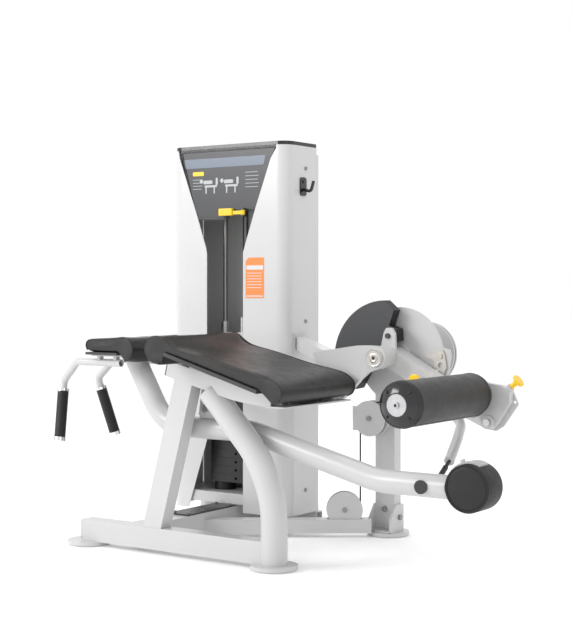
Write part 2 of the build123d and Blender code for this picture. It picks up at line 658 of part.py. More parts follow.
def make_carriage():
    """Cast carriage that holds the roller's axle and turns on the end of the arm."""
    x, z = CARRIAGE_X, CARRIAGE_Z
    outline = [(ROLLER_X - 34, ROLLER_Z - 22), (ROLLER_X - 30, ROLLER_Z + 30), (ROLLER_X + 8, ROLLER_Z + 40),
               (x + 44, z + 122), (x + 76, z + 104), (x + 74, z + 66), (x + 26, z - 8), (x + 8, z - 24),
               (x - 16, z - 22), (x - 26, z)]
    body = plate_y(outline, *CARRIAGE_Y, corner=7)
    boss = rod_y(ROLLER_X, ROLLER_Z, 27, 332, CARRIAGE_Y[0])
    lug = rod_y(x, z, 22, 352, CARRIAGE_Y[1])
    stem = rod_between(carriage_pin_line(-10), carriage_pin_line(22), 13)
    bore = rod_between(carriage_pin_line(-12), carriage_pin_line(40), 6.0)
    whole = body + boss + lug + stem - bore - rod_y(x, z, 8, 340, 395)
    return whole - rod_y(ROLLER_X, ROLLER_Z, 12.5, 320, CARRIAGE_Y[1] - 4)


def make_axle():
    """Roller axle with its end washer, and the carriage's pivot bolt."""
    axle = rod_y(ROLLER_X, ROLLER_Z, 12.5, -169, CARRIAGE_Y[1] - 4)
    washer = chamfer(rod_y(ROLLER_X, ROLLER_Z, 34, -174, -169).edges().group_by(Axis.Y)[0], 2)
    head = rod_y(ROLLER_X, ROLLER_Z, 10, -179, -174)
    bolt = rod_y(CARRIAGE_X, CARRIAGE_Z, 8, 346, 400) + rod_y(CARRIAGE_X, CARRIAGE_Z, 12, 345, 352)
    nut = rod_y(CARRIAGE_X, CARRIAGE_Z, 14, 400.5, 408)
    return [axle + washer + head, bolt + nut]


def make_carriage_pin():
    """Pop-pin with a yellow T knob that sets the roller's position."""
    shank = rod_between(carriage_pin_line(-10), carriage_pin_line(30), 5.5)
    neck = rod_between(carriage_pin_line(23), carriage_pin_line(48), 9)
    knob = rod_between(carriage_pin_line(48), carriage_pin_line(59), 22)
    return shank + neck + fillet(knob.edges().filter_by(GeomType.CIRCLE), 4)


def make_roller():
    foam = rod_y(ROLLER_X, ROLLER_Z, ROLLER_RADIUS, *ROLLER_Y)
    return foam - rod_y(ROLLER_X, ROLLER_Z, 20, -200, 400)


def make_roller_hubs():
    """Bearing hubs at both ends of the roller foam; the near one is a domed cap."""
    bore = rod_y(ROLLER_X, ROLLER_Z, 12.5 + RUNNING, -200, 400)
    dome = Pos(ROLLER_X, -63.4, ROLLER_Z) * Sphere(112)
    near = dome & rod_y(ROLLER_X, ROLLER_Z, 71, -168.9, ROLLER_Y[0])
    near = near + rod_y(ROLLER_X, ROLLER_Z, 20, ROLLER_Y[0], -110)
    far = rod_y(ROLLER_X, ROLLER_Z, 66, ROLLER_Y[1], 328) + rod_y(ROLLER_X, ROLLER_Z, 20, 280, ROLLER_Y[1])
    return [near - bore, far - bore]


# ---------------------------------------------------------------------- tower
def shroud_profile(side):
    """Outline of one bent sheet shroud, seen from above: side -1 is left, +1 is right."""
    middle = sum(TOWER_X) / 2
    wall_x = TOWER_X[0] if side < 0 else TOWER_X[1]
    outer = FilletPolyline((middle, TOWER_Y[0]), (wall_x, TOWER_Y[0]), (wall_x, TOWER_Y[1]), radius=CORNER)
    inner = FilletPolyline((middle, TOWER_Y[0] + SHROUD), (wall_x - side * SHROUD, TOWER_Y[0] + SHROUD),
                           (wall_x - side * SHROUD, TOWER_Y[1]), radius=CORNER - SHROUD)
    ends = [Line(outer @ 0, inner @ 0), Line(outer @ 1, inner @ 1)]
    return make_face(Wire(outer.edges() + inner.edges() + ends))


def make_left_shroud():
    sheet = extrude(Plane.XY.offset(TOWER_LOW) * shroud_profile(-1), amount=TOWER_TOP - TOWER_LOW)
    opening = [(-500, 1480), (-825, 1480), (-817, 1437), (-728, 1204), (-685, 1081), (-681, 1060),
               (-681, 336), (-774, 60), (-774, 40), (-500, 40)]
    return sheet - plate_y(opening, 500, 530)


def make_right_shroud():
    sheet = extrude(Plane.XY.offset(TOWER_LOW) * shroud_profile(1), amount=TOWER_TOP - TOWER_LOW)
    opening = [(-650, 1480), (-352, 1480), (-352, 1452), (-378, 1414), (-449, 1229), (-489, 1115),
               (-507, 1062), (-507, 40), (-650, 40)]
    return sheet - plate_y(opening, 500, 530)


def make_top_cap():
    return round_front(TOWER_X[0] + 1, TOWER_X[1] - 1, TOWER_Y[0] + 1, TOWER_Y[1], TOWER_TOP,
                       TOWER_TOP + 14, CORNER - 1)


def make_placard():
    """Instruction panel between the shrouds; its face is left plain."""
    outline = [(-812, 1463), (-738, 1190), (-593, 1188), (-572, 1216), (-440, 1224), (-350, 1463)]
    panel = plate_y(outline, TOWER_Y[0] + SHROUD + 0.5, TOWER_Y[0] + SHROUD + 14)
    return [panel, make_lever_bracket()]


def round_front(x0, x1, y0, y1, z0, z1, radius):
    """Box with its two front upright edges rounded."""
    box = block(x0, x1, y0, y1, z0, z1)
    return fillet(box.edges().filter_by(Axis.Z).group_by(Axis.Y)[0], radius)


def make_tray():
    """Folded steel tray that the stack stands on."""
    tray = round_front(-840, -322, 524, 708, BEAM_HIGH + 6, 138, 26)
    tray = tray - round_front(-836, -326, 528, 704, BEAM_HIGH + 4, 134, 22)
    tray = tray - cable_slot()
    return tray - [rod_z(STACK_X + s * ROD_OFFSET, STACK_Y, ROD_RADIUS, 80, 150) for s in (-1, 1)]


def make_rear_frame():
    """Back posts, floor tube, head bracket and sheet back of the tower."""
    floor = bar((-870, 736, 41), (TOWER_X[1], 736, 41), 40, 50, WALL)
    posts = [bar((x, 736, 66), (x, 736, 1440), 40, 40, WALL) for x in (-810, -342)]
    ties = [block(-790, -362, 716, 722, z, z + 60) for z in (200, 1360)]
    back = block(-850, -310, 712, 715, 141, 1450)
    ledge = block(-853, -307, 709, 716, 98, 141)
    head = block(-780, -400, 560, 712, 1440, 1448)
    lugs = [top_frame() * block(-22, 22, y, y + 4, TOP_PULLEY_Z - 15, 1441) for y in (-16, 12)]
    axle = top_frame() * rod_y(0, TOP_PULLEY_Z, 5, -20, 20)
    whole = floor + posts[0] + posts[1] + ties[0] + ties[1] + back + ledge + head
    whole = whole + (lugs[0] - axle) + (lugs[1] - axle)
    return whole - [rod_z(STACK_X + s * ROD_OFFSET, STACK_Y, ROD_RADIUS, 1400, 1460) for s in (-1, 1)]


def make_guide_rods():
    return [rod_z(STACK_X + s * ROD_OFFSET, STACK_Y, ROD_RADIUS, 134, 1448) for s in (-1, 1)]


def make_cushions():
    """Rubber rings round the guide rods, under the stack."""
    return [rod_z(STACK_X + s * ROD_OFFSET, STACK_Y, 41, 138, STACK_LOW)
            - rod_z(STACK_X + s * ROD_OFFSET, STACK_Y, ROD_RADIUS + 1, 120, 200) for s in (-1, 1)]


def stack_plate(index, gap=0.0):
    """One weight plate, counted from the bottom of the stack."""
    low = STACK_LOW + index * PLATE[2]
    width, depth = PLATE[0] / 2, PLATE[1] / 2
    body = block(STACK_X - width, STACK_X + width, STACK_Y - depth, STACK_Y + depth,
                 low + gap, low + PLATE[2] - 0.5)
    body = chamfer(body.edges().filter_by(Axis.Z), 20)
    holes = [rod_z(STACK_X + s * ROD_OFFSET, STACK_Y, ROD_RADIUS + 1, low - 1, low + 40) for s in (-1, 1)]
    holes.append(rod_z(STACK_X, STACK_Y, SELECTOR_RADIUS + 2, low - 1, low + 40))
    holes.append(rod_y(STACK_X, low + PLATE[2] / 2, 5.5, STACK_Y - depth - 1, STACK_Y))
    return body - holes


def make_resting_plates():
    return [stack_plate(i) for i in range(PLATES - LIFTED)]


def make_lifted_plates():
    return [stack_plate(i, 0.5 if i == PLATES - LIFTED else 0.0) for i in range(PLATES - LIFTED, PLATES)]


def stack_top():
    return STACK_LOW + PLATES * PLATE[2]


def make_head_plate():
    """Top plate with its guide bushes and the bored selector rod."""
    low = stack_top()
    plate = block(STACK_X - 118, STACK_X + 118, STACK_Y - 42, STACK_Y + 42, low, low + 38)
    plate = chamfer(plate.edges().filter_by(Axis.Z), 16)
    bushes = [rod_z(STACK_X + s * ROD_OFFSET, STACK_Y, 18, low + 38, low + 80) for s in (-1, 1)]
    rod = rod_z(STACK_X, STACK_Y, SELECTOR_RADIUS, STACK_LOW + 6, low)
    stem = rod_z(STACK_X, STACK_Y, 15, low + 38, low + 96)
    whole = plate + bushes[0] + bushes[1] + rod + stem
    whole = whole - [rod_z(STACK_X + s * ROD_OFFSET, STACK_Y, ROD_RADIUS + 1, low - 5, low + 90)
                     for s in (-1, 1)]
    pin_holes = [rod_y(STACK_X, STACK_LOW + (i + 0.5) * PLATE[2], 5.5, STACK_Y - 20, STACK_Y + 20)
                 for i in range(PLATES)]
    return whole - rod_z(STACK_X, STACK_Y, CABLE_RADIUS + 1.5, low - 330, low + 100) - pin_holes


def selector_height():
    return STACK_LOW + (PLATES - LIFTED + 0.5) * PLATE[2]


def make_selector_pin():
    front = STACK_Y - PLATE[1] / 2
    pin = rod_y(STACK_X, selector_height(), 5, front - 10, STACK_Y - 4.8)
    knob = rod_y(STACK_X, selector_height(), 15, front - 38, front - 10)
    return pin + fillet(knob.edges().filter_by(GeomType.CIRCLE), 4)


def make_lever():
    """Small lever that adds half a plate; it turns about an upright pin on the placard."""
    arm = block(-560, -496, 503, 510, 1207, 1221)
    grip = fillet(block(-612, -548, 497, 513, 1203, 1231).edges(), 3)
    eye = rod_z(-500, 506.5, 8, 1205, 1223)
    return arm + grip + eye - rod_z(-500, 506.5, 4 + RUNNING, 1190, 1240)


def make_lever_bracket():
    """Pin bracket of the small lever, fixed to the face of the placard."""
    pin = rod_z(-500, 506.5, 4, 1200, 1228)
    cheeks = [block(-508, -492, 498, TOWER_Y[0] + SHROUD + 0.5, z, z + 4) for z in (1198, 1226)]
    plate = block(-508, -492, TOWER_Y[0] + 0.5, TOWER_Y[0] + SHROUD + 0.5, 1198, 1230)
    return pin + cheeks[0] + cheeks[1] + plate


def make_coat_hook():
    """Hook for a towel on the side of the tower."""
    x = TOWER_X[1]
    plate = fillet(block(x, x + 5, 600, 640, 1275, 1345).edges().filter_by(Axis.X), 12)
    arm = bent_tube([(x + 2, 620, 1300), (x + 38, 620, 1290), (x + 50, 620, 1330)], [12], 12)
    return plate + arm + bolt_head((x + 5, 620, 1328), (1, 0, 0), 6, 3)


# -------------------------------------------------------------- cable, pulleys
def grooved_wheel(line_radius, thickness=18.0, bore=5.0):
    """Pulley about the Y axis at the origin, whose cable runs at line_radius."""
    wheel = rod_y(0, 0, line_radius + 5, -thickness / 2, thickness / 2)
    floor = line_radius - CABLE_RADIUS - 0.5
    groove = rod_y(0, 0, line_radius + 9, -4.2, 4.2) - rod_y(0, 0, floor, -5, 5)
    return wheel - groove - rod_y(0, 0, bore + RUNNING, -20, 20)


def upper_frame():
    return Location((*UPPER_PULLEY_AT, UPPER_PULLEY_Z))


def lower_frame():
    heading = diagonal_heading()
    return Location(Plane(origin=(*LOWER_PULLEY_AT, LOWER_PULLEY_Z), x_dir=(*heading, 0), z_dir=(0, 0, 1)))


def turn_frame():
    """Pulley inside the spine that turns the cable towards the tower."""
    x, y, half_turn = turn_corner()
    centre = (x + TURN_PULLEY, y + TURN_PULLEY * math.tan(half_turn), LOWER_PULLEY_Z - LOWER_PULLEY)
    return Location(Plane(origin=centre, x_dir=(1, 0, 0), z_dir=(0, 1, 0)))


def turn_corner():
    """Corner of the cable in the spine, as x, y and half the angle that it turns by."""
    heading = diagonal_heading()
    distance = (CABLE_BACK[0] - DIAGONAL_START[0]) / heading[0]
    half_turn = (math.pi / 2 + math.atan2(heading[1], heading[0])) / 2
    return CABLE_BACK[0], DIAGONAL_START[1] + distance * heading[1], half_turn


def base_frame():
    centre = (CABLE_BACK[0], CABLE_BACK[1] - BASE_PULLEY, LOWER_PULLEY_Z - LOWER_PULLEY + BASE_PULLEY)
    return Location(Plane(origin=centre, x_dir=(0, 1, 0), z_dir=(0, 0, 1)))


def top_pulley_radius():
    return math.hypot(STACK_X - CABLE_BACK[0], STACK_Y - CABLE_BACK[1]) / 2


def top_frame():
    """Axes of the head pulley, at floor height: x from the back of the tower to the stack."""
    middle = ((STACK_X + CABLE_BACK[0]) / 2, (STACK_Y + CABLE_BACK[1]) / 2, 0)
    aim = (STACK_X - CABLE_BACK[0], STACK_Y - CABLE_BACK[1], 0)
    return Location(Plane(origin=middle, x_dir=aim, z_dir=(0, 0, 1)))


def pulley_axles():
    """Axle bolts of the five pulleys."""
    axles = [
        upper_frame() * (rod_y(0, 0, 5, -20, 20) + rod_y(0, 0, 9, -25, -20)),
        lower_frame() * (rod_y(0, 0, 5, -20, 20) + rod_y(0, 0, 9, -25, -20)),
        turn_frame() * rod_y(0, 0, 5, -46, 22),
        base_frame() * rod_y(0, 0, 5, -11, 11),
        top_frame() * rod_y(0, TOP_PULLEY_Z, 5, -20, 20),
    ]
    return axles


def make_pulley_covers():
    """Side plates of the two open pulleys."""
    covers = []
    for y in (-19, 14):
        round_plate = rod_y(0, 0, 66, y, y + 5)
        box = plate_y([(-70, -46), (0, -46), (0, 44), (-70, 44)], y, y + 5)
        covers.append(round_plate + box)
    bridge = block(-70, -56, -14, 14, -20, 20)
    upper = covers[0] + covers[1] + bridge - rod_y(0, 0, 5, -30, 30)
    standing = []
    for y in (-19, 14):
        disc = rod_y(0, 0, 67, y, y + 5) & block(-70, 70, -30, 30, DIAGONAL_TOP - LOWER_PULLEY_Z, 80)
        standing.append(disc - rod_y(0, 0, 5, -30, 30))
    return [upper_frame() * upper] + [lower_frame() * plate for plate in standing]


def cable_points():
    """Corners of the cable from the cam wheel to the stack, and the radius at each."""
    px, py = UPPER_PULLEY_AT[0], UPPER_PULLEY_AT[1]
    gap_x, gap_z = PIVOT_X - px, PIVOT_Z - UPPER_PULLEY_Z
    span = math.hypot(gap_x, gap_z)
    slope = math.atan2(gap_z, gap_x) - math.asin((SHEAVE_LINE + UPPER_PULLEY) / span)
    half = (math.pi / 2 - slope) / 2
    sheave_x = PIVOT_X + SHEAVE_LINE
    leave = PIVOT_Z - SHEAVE_LINE * math.tan(half)
    meet_z = UPPER_PULLEY_Z + UPPER_PULLEY * math.tan(half)
    low = LOWER_PULLEY_Z - LOWER_PULLEY
    turn_x, turn_y, _ = turn_corner()
    top = TOP_PULLEY_Z + top_pulley_radius()
    points = [(sheave_x, py, PIVOT_Z + 12), (sheave_x, py, leave), (px - UPPER_PULLEY, py, meet_z),
              (px - UPPER_PULLEY, py, low), (turn_x, turn_y, low), (turn_x, CABLE_BACK[1], low),
              (turn_x, CABLE_BACK[1], top), (STACK_X, STACK_Y, top), (STACK_X, STACK_Y, stack_top() + 60)]
    loop = top_pulley_radius() - 0.05
    radii = [SHEAVE_LINE, UPPER_PULLEY, LOWER_PULLEY, TURN_PULLEY, BASE_PULLEY, loop, loop]
    return points, radii


def make_cable():
    points, radii = cable_points()
    return bent_tube(points, radii, 2 * CABLE_RADIUS)


def make_upper_pulley():
    return upper_frame() * grooved_wheel(UPPER_PULLEY)


def make_lower_pulley():
    return lower_frame() * grooved_wheel(LOWER_PULLEY)


def make_turn_pulley():
    return turn_frame() * grooved_wheel(TURN_PULLEY, 16)


def make_base_pulley():
    return base_frame() * grooved_wheel(BASE_PULLEY, 14)


def make_top_pulley():
    return top_frame() * Pos(0, 0, TOP_PULLEY_Z) * grooved_wheel(top_pulley_radius())


# --------------------------------------------------------------------- output
MAKERS = {
    "floor_feet": make_feet, "front_beam": make_front_beam, "tube_end_caps": make_end_caps,
    "curved_leg": make_curved_leg, "left_leg": make_left_leg, "pad_beam": make_pad_beam,
    "spine_tube": make_spine, "spine_cover_plate": make_spine_cover, "diagonal_tube": make_diagonal,
    "rear_upright": make_upright, "frame_bolts": make_frame_bolts, "pad_mounts": make_pad_mounts,
    "pivot_bracket": make_pivot_bracket,
    "main_pad_board": make_main_board, "main_pad": make_main_pad,
    "rocker_pivot_pin": make_rocker_pivot_pin, "rocker_tube": make_rocker_tube,
    "small_pad_board": make_small_board, "small_pad": make_small_pad,
    "handle_tubes": make_handle_tubes, "hand_grips": make_grips, "grip_collars": make_grip_collars,
    "end_weight": make_end_weight, "end_cradle": make_end_cradle, "link_pin": make_link_pin,
    "link_tube": make_link_tube, "link_rod_end": make_rod_end,
    "exercise_shaft": make_shaft, "range_disc": make_disc, "stop_hook": make_stop_hook,
    "cable_sheave": make_sheave, "exercise_arm": make_arm, "counterweight": make_counterweight,
    "start_pin": make_start_pin, "roller_carriage": make_carriage, "roller_axle": make_axle,
    "carriage_pin": make_carriage_pin, "leg_roller": make_roller, "roller_hubs": make_roller_hubs,
    "left_shroud": make_left_shroud, "right_shroud": make_right_shroud, "top_cap": make_top_cap,
    "placard": make_placard, "stack_tray": make_tray, "tower_rear_frame": make_rear_frame,
    "guide_rods": make_guide_rods, "stack_cushions": make_cushions,
    "resting_plates": make_resting_plates, "lifted_plates": make_lifted_plates,
    "stack_head": make_head_plate, "selector_pin": make_selector_pin,
    "weight_lever": make_lever, "coat_hook": make_coat_hook,
    "pulley_covers": make_pulley_covers, "pull_cable": make_cable,
    "upper_pulley": make_upper_pulley, "lower_pulley": make_lower_pulley,
    "turn_pulley": make_turn_pulley, "base_pulley": make_base_pulley, "top_pulley": make_top_pulley,
}


def as_solids(made):
    """All solids of one part, however its function returned them."""
    shapes = made if isinstance(made, list) else [made]
    return [solid for shape in shapes for solid in shape.solids()]


def whole_box(parts):
    """Lowest and highest corner of the whole machine."""
    boxes = [solid.bounding_box() for solids in parts.values() for solid in solids]
    low = [min(getattr(box.min, axis) for box in boxes) for axis in "XYZ"]
    high = [max(getattr(box.max, axis) for box in boxes) for axis in "XYZ"]
    return low, high


PARTS = {node: as_solids(maker()) for node, maker in MAKERS.items()}
LOW, HIGH = whole_box(PARTS)
SHIFT = (-(LOW[0] + HIGH[0]) / 2, -(LOW[1] + HIGH[1]) / 2, -LOW[2])

for node, solids in PARTS.items():
    placed = [solid.moved(Location(SHIFT)) for solid in solids]
    export_step(Compound(children=placed) if len(placed) > 1 else placed[0], f"parts/{node}.step")
print("size", [round(b - a, 1) for a, b in zip(LOW, HIGH)], "shift", [round(v, 2) for v in SHIFT])
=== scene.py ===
"""Looks of the lying leg curl machine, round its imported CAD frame."""
import math

import bmesh
import bpy
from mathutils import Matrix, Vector


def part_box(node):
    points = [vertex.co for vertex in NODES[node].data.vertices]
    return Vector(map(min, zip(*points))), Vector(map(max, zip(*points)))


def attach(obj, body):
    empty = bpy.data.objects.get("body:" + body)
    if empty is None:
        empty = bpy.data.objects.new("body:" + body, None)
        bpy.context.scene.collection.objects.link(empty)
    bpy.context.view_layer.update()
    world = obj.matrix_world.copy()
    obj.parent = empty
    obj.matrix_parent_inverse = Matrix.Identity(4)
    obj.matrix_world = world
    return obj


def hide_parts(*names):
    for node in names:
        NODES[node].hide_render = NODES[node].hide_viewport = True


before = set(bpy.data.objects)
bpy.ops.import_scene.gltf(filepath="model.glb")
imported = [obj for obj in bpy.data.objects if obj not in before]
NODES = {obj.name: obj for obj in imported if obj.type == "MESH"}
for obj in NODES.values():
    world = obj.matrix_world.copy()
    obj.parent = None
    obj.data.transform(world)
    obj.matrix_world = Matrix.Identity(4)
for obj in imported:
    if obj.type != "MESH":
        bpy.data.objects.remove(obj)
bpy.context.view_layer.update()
SCENE = bpy.context.scene

# Places below are in the CAD drawing's millimetres, from an origin under the foot of the curved leg.
PIVOT_X, PIVOT_Z = 200, 690         # exercise pivot
SHAFT_FRONT = 312                   # Y of the near end of its shaft
PIVOT_CAP_FRONT = 298.3             # Y of the bright face on the pivot's cap
ROLLER_X, ROLLER_Z = 563, 580       # axis of the leg roller
ROLLER_FRONT = -150                 # Y of the near end of its foam
PAD_MIDDLE = 70                     # Y of the middle of both pads
PLACARD_FACE = 518.5                # Y of the instruction panel's face
SHROUD_FRONT = 515.0                # Y of the front of the shrouds
LABEL_BOX = (-495, -408, 888, 1042)     # low and high X, low and high Z of the decal

# Foam covers, in metres.
PRESSURE = 4.0
SIM_FRAMES = 20
# Faces past these shares get painted light: a lighter copy of the upholstery stands in for the light on the
# pad sides and roller ends.
PAINTED_LIGHT_SIDE, PAINTED_LIGHT_END = 0.62, 0.9      # share of the normal along Y from which a face is a side panel
STITCH_STEP = 0.006
STITCH_INSET = 0.011
STITCH_RADIUS = 0.00055

# Camera: focal length and shift are in rows of the picture, the azimuth is from +Y towards -X.
PICTURE_ROWS = 617.0
FOCAL_ROWS = 1390.0
SHIFT_ROWS = -22.5
SENSOR = 36.0
CAMERA_AT = (2632.7, -3747.9, 934.0)
CAMERA_AZIMUTH = 34.6

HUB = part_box("exercise_shaft")
HUB_MIDDLE = (HUB[0] + HUB[1]) / 2
SHIFT = Vector((HUB_MIDDLE.x - PIVOT_X / 1000, HUB[0].y - SHAFT_FRONT / 1000, HUB_MIDDLE.z - PIVOT_Z / 1000))


def place(x, y, z):
    """Point given in the CAD drawing's millimetres, in this frame."""
    return Vector((x / 1000, y / 1000, z / 1000)) + SHIFT


# ------------------------------------------------------------------ materials
class Shader:
    """Small helper that builds a node material."""

    def __init__(self, name, colour, rough, metal=0.0, coat=0.0, spec=0.5, coat_rough=0.1):
        self.mat = bpy.data.materials.new(name)
        self.mat.use_nodes = True
        self.tree = self.mat.node_tree
        self.bsdf = self.tree.nodes["Principled BSDF"]
        self.rough = rough
        self.set("Base Color", (*colour, 1))
        self.set("Roughness", rough)
        self.set("Metallic", metal)
        self.set("Coat Weight", coat)
        self.set("Coat Roughness", coat_rough)
        self.set("Specular IOR Level", spec)
        self.colour = colour
        self.coords = self.add("ShaderNodeTexCoord").outputs["Object"]
        self.height = None

    def add(self, kind, **values):
        node = self.tree.nodes.new(kind)
        for key, value in values.items():
            setattr(node, key, value)
        return node

    def set(self, socket, value):
        self.bsdf.inputs[socket].default_value = value

    def link(self, a, b):
        self.tree.links.new(a, b)

    def noise(self, scale, detail=3.0, rough=0.5):
        node = self.add("ShaderNodeTexNoise")
        node.inputs["Scale"].default_value = scale
        node.inputs["Detail"].default_value = detail
        node.inputs["Roughness"].default_value = rough
        self.link(self.coords, node.inputs["Vector"])
        return node.outputs["Fac"]

    def voronoi(self, scale, feature="F1", randomness=1.0):
        node = self.add("ShaderNodeTexVoronoi", feature=feature)
        node.inputs["Scale"].default_value = scale
        node.inputs["Randomness"].default_value = randomness
        self.link(self.coords, node.inputs["Vector"])
        return node.outputs["Distance"]

    def ramp(self, source, low, high, out_low, out_high):
        node = self.add("ShaderNodeMapRange")
        for key, value in (("From Min", low), ("From Max", high), ("To Min", out_low), ("To Max", out_high)):
            node.inputs[key].default_value = value
        self.link(source, node.inputs["Value"])
        return node.outputs["Result"]

    def vary_colour(self, source, low, high, dark, light):
        """Base colour runs between two shades as source goes from low to high."""
        mix = self.add("ShaderNodeMix", data_type="RGBA")
        self.link(self.ramp(source, low, high, 0, 1), mix.inputs[0])
        mix.inputs[6].default_value = (*[c * dark for c in self.colour], 1)
        mix.inputs[7].default_value = (*[min(c * light, 1) for c in self.colour], 1)
        self.link(mix.outputs[2], self.bsdf.inputs["Base Color"])

    def vary_rough(self, source, low, high, spread):
        self.link(self.ramp(source, low, high, self.rough - spread, self.rough + spread),
                  self.bsdf.inputs["Roughness"])

    def bump(self, source, strength, distance):
        """Adds one layer of bump; layers add up."""
        node = self.add("ShaderNodeBump")
        node.inputs["Strength"].default_value = strength
        node.inputs["Distance"].default_value = distance
        self.link(source, node.inputs["Height"])
        if self.height is not None:
            self.link(self.height, node.inputs["Normal"])
        self.height = node.outputs["Normal"]
        self.link(self.height, self.bsdf.inputs["Normal"])


def powder(name, colour, rough=0.32, coat=0.25):
    s = Shader(name, colour, rough, coat=coat, coat_rough=0.18)
    s.vary_colour(s.noise(4.0), 0.3, 0.7, 0.975, 1.01)
    s.vary_rough(s.noise(9.0), 0.3, 0.7, 0.04)
    s.bump(s.noise(420.0, 2.0), 0.06, 0.0006)
    return s.mat


def leather(name, colour, rough=0.42):
    s = Shader(name, colour, rough, spec=0.36)
    s.vary_colour(s.noise(14.0, 4.0), 0.3, 0.7, 0.82, 1.12)
    s.vary_rough(s.noise(30.0), 0.3, 0.7, 0.05)
    s.bump(s.voronoi(520.0), 0.35, 0.0004)
    s.bump(s.noise(1400.0, 3.0), 0.25, 0.0002)
    s.bump(s.noise(18.0, 2.0), 0.12, 0.002)
    return s.mat


def rubber(name, colour, rough=0.6, scale=900.0):
    s = Shader(name, colour, rough, spec=0.4)
    s.vary_colour(s.noise(20.0, 5.0), 0.3, 0.7, 0.8, 1.25)
    s.vary_rough(s.noise(40.0), 0.3, 0.7, 0.06)
    s.bump(s.noise(scale, 3.0), 0.3, 0.0003)
    return s.mat


def grip_rubber(name, colour, rough):
    """Black rubber moulded with a close grid of small dimples."""
    s = Shader(name, colour, rough, spec=0.4)
    s.vary_rough(s.noise(40.0), 0.3, 0.7, 0.06)
    s.bump(s.voronoi(290.0, randomness=0.15), 0.9, 0.0012)
    s.bump(s.noise(900.0, 3.0), 0.2, 0.0002)
    return s.mat


def edged_rubber(name, colour, rough):
    """Mottled grey on the flat faces across Y, black round the edge."""
    s = Shader(name, colour, rough, spec=0.4)
    normal = s.add("ShaderNodeTexCoord").outputs["Normal"]
    split = s.add("ShaderNodeSeparateXYZ")
    s.link(normal, split.inputs[0])
    flat = s.add("ShaderNodeMath", operation="ABSOLUTE")
    s.link(split.outputs["Y"], flat.inputs[0])
    s.vary_colour(flat.outputs[0], 0.7, 0.95, 0.15, 1.0)
    s.vary_rough(s.noise(40.0), 0.3, 0.7, 0.06)
    s.bump(s.noise(160.0, 3.0), 0.4, 0.0005)
    return s.mat


def plastic(name, colour, rough=0.35, coat=0.0):
    s = Shader(name, colour, rough, coat=coat)
    s.vary_rough(s.noise(60.0), 0.3, 0.7, 0.04)
    s.bump(s.noise(700.0, 2.0), 0.12, 0.0002)
    return s.mat


def metal(name, colour, rough=0.28, scale=300.0):
    s = Shader(name, colour, rough, metal=1.0)
    s.vary_colour(s.noise(60.0, 4.0), 0.3, 0.7, 0.92, 1.04)
    s.vary_rough(s.noise(scale, 4.0), 0.3, 0.7, 0.05)
    s.bump(s.noise(scale * 3, 2.0), 0.05, 0.0002)
    return s.mat


WHITE = powder("White_Powder", (0.53, 0.53, 0.53))
SHROUD = powder("Shroud_White", (0.58, 0.58, 0.58), 0.22, 0.5)
BLACK_COAT = powder("Black_Powder", (0.022, 0.022, 0.024), 0.4, 0.1)
GREY_FACE = edged_rubber("Weight_Grey", (0.055, 0.056, 0.060), 0.5)
LEATHER = leather("Upholstery", (0.017, 0.0155, 0.015))
# Painted light: a lighter copy of the upholstery for the pad sides, roller ends and welt cords, standing in
# for the light that falls on them.
LEATHER_PAINTED_LIGHT = leather("Upholstery_Painted_Light", (0.026, 0.0245, 0.024), 0.5)
THREAD = rubber("Seam_Thread", (0.03, 0.028, 0.028), 0.7)
RUBBER = rubber("Rubber", (0.010, 0.010, 0.011), 0.5)
GRIP = grip_rubber("Grip_Rubber", (0.006, 0.006, 0.007), 0.45)
PLASTIC = plastic("Black_Plastic", (0.008, 0.008, 0.009))
GLOSS_BLACK = plastic("Gloss_Black", (0.006, 0.006, 0.007), 0.16, 0.3)
YELLOW = plastic("Yellow_Plastic", (0.86, 0.53, 0.006), 0.3, 0.3)
CHROME = metal("Chrome", (0.78, 0.78, 0.79), 0.08)
STEEL = metal("Steel", (0.52, 0.52, 0.53), 0.3)
NICKEL = metal("Nickel", (0.60, 0.57, 0.53), 0.34)
BOLT = metal("Bolt_Steel", (0.30, 0.29, 0.28), 0.35)
BOARD = rubber("Board_Edge", (0.05, 0.048, 0.047), 0.6, 120.0)
CABLE = plastic("Cable_Jacket", (0.01, 0.01, 0.01), 0.3)
PULLEY = plastic("Pulley_Nylon", (0.03, 0.03, 0.033), 0.4)
LABEL = plastic("Label_Orange", (0.80, 0.23, 0.05), 0.4)
LABEL_PALE = plastic("Label_Pale", (0.62, 0.63, 0.65), 0.4)
PANEL = plastic("Panel_Graphite", (0.035, 0.036, 0.041), 0.32, 0.1)
PANEL_BLUE = plastic("Panel_Slate", (0.13, 0.16, 0.21), 0.32, 0.2)
PANEL_MARK = plastic("Panel_Mark", (0.42, 0.43, 0.45), 0.4)
BACK_PANEL = powder("Back_Grey", (0.60, 0.60, 0.60), 0.4, 0.1)
PLATE = rubber("Plate_Black", (0.02, 0.02, 0.021), 0.45, 260.0)

